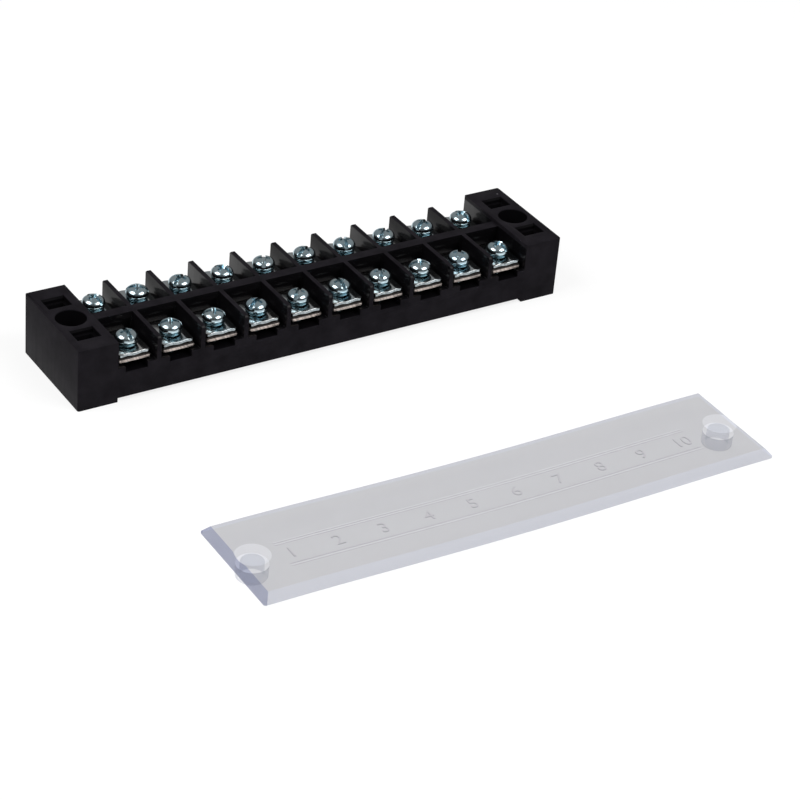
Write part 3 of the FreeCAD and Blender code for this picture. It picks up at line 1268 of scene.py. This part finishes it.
class STRIP_OT_cover(bpy.types.Operator):
    """Makes the clear cover with its pegs, dishes, raised lines and figures"""

    bl_idname = "strip.cover"
    bl_label = "Clear cover"

    # Radius of the small flat that closes a turned shape on its axis
    axis_flat = 0.02 * MM

    # Radii of a peg and of the room in it at mouth and roof, and the thickness over that room
    peg_radius = 3.95 * MM
    mouth_radius = 2.95 * MM
    roof_radius = 2.85 * MM
    roof_thickness = 1.0 * MM

    def plate(self, settings):
        """The flat plate: an outline with small corners, drawn in along the bevel."""
        low = settings.drop
        high = low + settings.thickness
        inset = 1.0 * MM
        edge = 0.12 * MM
        corner = 0.7 * MM
        profile = rounded(
            [
                (inset, low), (0.0, low), (0.0, low + settings.rim),
                (settings.bevel, high), (settings.bevel + inset, high),
            ],
            [0, edge, edge, 0.25 * MM, 0], 4,
        )
        points = slab_points(settings.length / 2, settings.width / 2, corner, profile, steps=8)
        return tube_mesh("plate", points)

    def pegs(self, settings, offset):
        """Both pegs, solid up to the middle of the plate."""
        top = settings.drop + settings.thickness / 2
        return self.pair("peg", offset, rounded(
            [
                (self.axis_flat, 0.0), (self.peg_radius, 0.0),
                (self.peg_radius, top), (self.axis_flat, top),
            ],
            [0, 0.8 * MM, 0, 0], 5,
        ))

    def hollows(self, settings, offset):
        """The rooms inside both pegs, open below."""
        below = -1.0 * MM
        roof = settings.drop + settings.thickness - settings.dish_depth - self.roof_thickness
        return self.pair("hollow", offset, rounded(
            [
                (self.axis_flat, below), (self.mouth_radius, below),
                (self.roof_radius, roof), (self.axis_flat, roof),
            ],
            [0, 0, 0.4 * MM, 0], 4,
        ))

    def dishes(self, settings, offset):
        """The shallow dish over each peg, with soft edges and a small groove round its middle."""
        top = settings.drop + settings.thickness
        floor = top - settings.dish_depth
        groove = 0.1 * MM
        outer = 5.4 * MM
        above = top + 1.0 * MM
        return self.pair("dish", offset, rounded(
            [
                (self.axis_flat, floor), (1.1 * MM, floor), (1.4 * MM, floor - groove),
                (3.3 * MM, floor), (4.4 * MM, top - 0.02 * MM), (outer, top + 0.04 * MM),
                (outer, above), (self.axis_flat, above),
            ],
            [0, 0.2 * MM, 0.2 * MM, 0.5 * MM, 0.6 * MM, 0, 0, 0], 4,
        ))

    def pair(self, name, offset, profile):
        """A turned shape at both ends of the cover."""
        columns = 72
        mesh = tube_mesh(name, turned(profile, columns))
        places = [Matrix.Translation((x, 0.0, 0.0)) for x in (-offset, offset)]
        return joined(name, [transformed(mesh, place, "end") for place in places])

    def lines(self, settings):
        """Two pairs of low raised lines along the underside of the plate."""
        half_length, half_width, corner = 58.6 * MM, 0.16 * MM, 0.12 * MM
        high = settings.mark_height
        profile = rounded([(0.0, -high), (0.0, high), (0.1 * MM, high)], [0, 0.05 * MM, 0], 3)
        bar = tube_mesh("line", slab_points(half_length, half_width, corner, profile))
        over = Matrix.Rotation(math.pi, 4, "X")
        return [
            transformed(bar, Matrix.Translation((0.0, y * MM, settings.drop)) @ over, "line")
            for y in (-4.4, -3.6, 4.1, 4.9)
        ]

    def figures(self, settings):
        """Raised plain figures on the underside of the plate, one to a pole, a little left of it.

        A figure's height is a fixed share of its font's size.
        """
        height_share = 0.73
        shift = 0.4 * MM
        meshes = []
        for index in range(POLES):
            curve = bpy.data.curves.new("figure", "FONT")
            curve.body = str(index + 1)
            curve.size = settings.figure_size / height_share
            curve.align_x = "CENTER"
            curve.align_y = "CENTER"
            curve.extrude = settings.mark_height
            curve.resolution_u = 4
            mesh = merged(mesh_taken_from(new_object("figure", curve)), 0.001 * MM)
            x = middle("terminal_plate_%02d" % (index + 1), 0) - shift
            place = Matrix.Translation((x, 0.0, settings.drop))
            meshes.append(transformed(mesh, place, "figure"))
        return meshes

    def cut_across(self, mesh, offset):
        """Cuts the cover's faces across at even steps, so that it can bend."""
        cuts = 34
        work = bmesh.new()
        work.from_mesh(mesh)
        for x in np.linspace(-offset, offset, cuts):
            bmesh.ops.bisect_plane(
                work, geom=work.verts[:] + work.edges[:] + work.faces[:],
                plane_co=(x, 0.0, 0.0), plane_no=(1.0, 0.0, 0.0),
            )
        work.to_mesh(mesh)
        work.free()

    def add_attributes(self, mesh, settings, offset):
        """Keeps what each face and mark belongs to, for the material to read.

        A face belongs to an edge where it looks outwards near the outline, and to a peg or dish
        where it is below the plate, or inside it and near a peg's axis.
        """
        skin = 0.05 * MM
        dish_reach = 4.8 * MM
        below_marks = settings.drop - 1.5 * settings.mark_height
        points = vectors_of(mesh.vertices, "co")
        marked = points[:, 2] > below_marks
        marked &= points[:, 2] < settings.drop - 0.5 * settings.mark_height
        mark = np.where(np.abs(points[:, 1]) > settings.width / 9, 1.0, -1.0) * marked
        centres = vectors_of(mesh.polygons, "center")
        normals = vectors_of(mesh.polygons, "normal")
        x, y, z = centres.T
        outward = (centres * normals)[:, :2].max(axis=1) > 0
        beyond_x = np.abs(x) > settings.length / 2 - settings.bevel - skin
        beyond_y = np.abs(y) > settings.width / 2 - settings.bevel - skin
        edge = outward & (beyond_x | beyond_y)
        inside = (z > settings.drop + skin) & (z < settings.drop + settings.thickness - skin)
        near_peg = np.hypot(np.abs(x) - offset, y) < dish_reach
        peg = (z < below_marks) | (inside & near_peg & ~edge)
        region = np.select([peg, edge & beyond_x & (x < 0), edge], [0, 3, 2], 1)
        for name, domain, values in (("region", "FACE", region), ("mark", "POINT", mark)):
            attribute = mesh.attributes.new(name, "FLOAT", domain)
            attribute.data.foreach_set("value", values.astype(np.float32))

    def sag(self, mesh, settings, offset):
        """Lowers the cover's middle.

        A point sinks by sag (1 - u ** 2) ** 2, where u is its distance from the middle as a share
        of the pegs' and at most 1, and less in step with its height where it is below the plate.
        """
        points = vectors_of(mesh.vertices, "co")
        share = np.clip(np.abs(points[:, 0]) / offset, 0, 1)
        height = np.clip(points[:, 2] / settings.drop, 0, 1)
        points[:, 2] -= settings.sag * (1 - share ** 2) ** 2 * height
        mesh.vertices.foreach_set("co", points.ravel())
        mesh.update()

    def execute(self, context):
        settings = context.scene.strip_cover
        offset = frame["record"]["mounts"][0]["dims"]["spacing_x_mm"] * MM / 2
        mesh = cut_or_joined(self.plate(settings), [
            ("UNION", self.pegs(settings, offset)),
            ("DIFFERENCE", self.hollows(settings, offset)),
            ("DIFFERENCE", self.dishes(settings, offset)),
            ("UNION", joined("marks", self.lines(settings) + self.figures(settings))),
        ])
        self.cut_across(mesh, offset)
        self.add_attributes(mesh, settings, offset)
        self.sag(mesh, settings, offset)
        mesh.transform(over_base("cover") @ Matrix.Rotation(settings.turn, 4, "Z"))
        shade(mesh, math.radians(32.0))
        piece = new_piece("clear_cover", mesh, cover_material(settings))
        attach(piece, "strip")
        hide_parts("cover")
        return {"FINISHED"}


class STRIP_PT_panel(bpy.types.Panel):
    """Lists the pieces and their settings."""

    bl_label = "Barrier terminal strip"
    bl_idname = "STRIP_PT_panel"
    bl_space_type = "VIEW_3D"
    bl_region_type = "UI"
    bl_category = "Strip"

    def draw(self, context):
        for name, settings, operator in PARTS:
            box = self.layout.box()
            box.operator(operator.bl_idname)
            for key in settings.__annotations__:
                box.prop(getattr(context.scene, name), key)


PARTS = (
    ("strip_stage", StageSettings, STRIP_OT_stage),
    ("strip_moulding", MouldingSettings, STRIP_OT_moulding),
    ("strip_contacts", ContactSettings, STRIP_OT_contacts),
    ("strip_washers", WasherSettings, STRIP_OT_washers),
    ("strip_screws", ScrewSettings, STRIP_OT_screws),
    ("strip_cover", CoverSettings, STRIP_OT_cover),
)


def register():
    """Registers the settings, operators and panel."""
    for name, settings, operator in PARTS:
        bpy.utils.register_class(settings)
        setattr(bpy.types.Scene, name, PointerProperty(type=settings))
        bpy.utils.register_class(operator)
    bpy.utils.register_class(STRIP_PT_panel)


def unregister():
    """Removes what register added."""
    bpy.utils.unregister_class(STRIP_PT_panel)
    for name, settings, operator in reversed(PARTS):
        bpy.utils.unregister_class(operator)
        delattr(bpy.types.Scene, name)
        bpy.utils.unregister_class(settings)


def plain(bounds):
    """Two corners as plain lists of numbers."""
    return [[float(value) for value in corner] for corner in bounds]


def main():
    """Makes every piece."""
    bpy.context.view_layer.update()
    register()
    bpy.ops.strip.stage()
    bpy.ops.strip.moulding()
    bpy.ops.strip.contacts()
    bpy.ops.strip.washers()
    bpy.ops.strip.screws()
    bpy.ops.strip.cover()


if __name__ == "__main__":
    main()
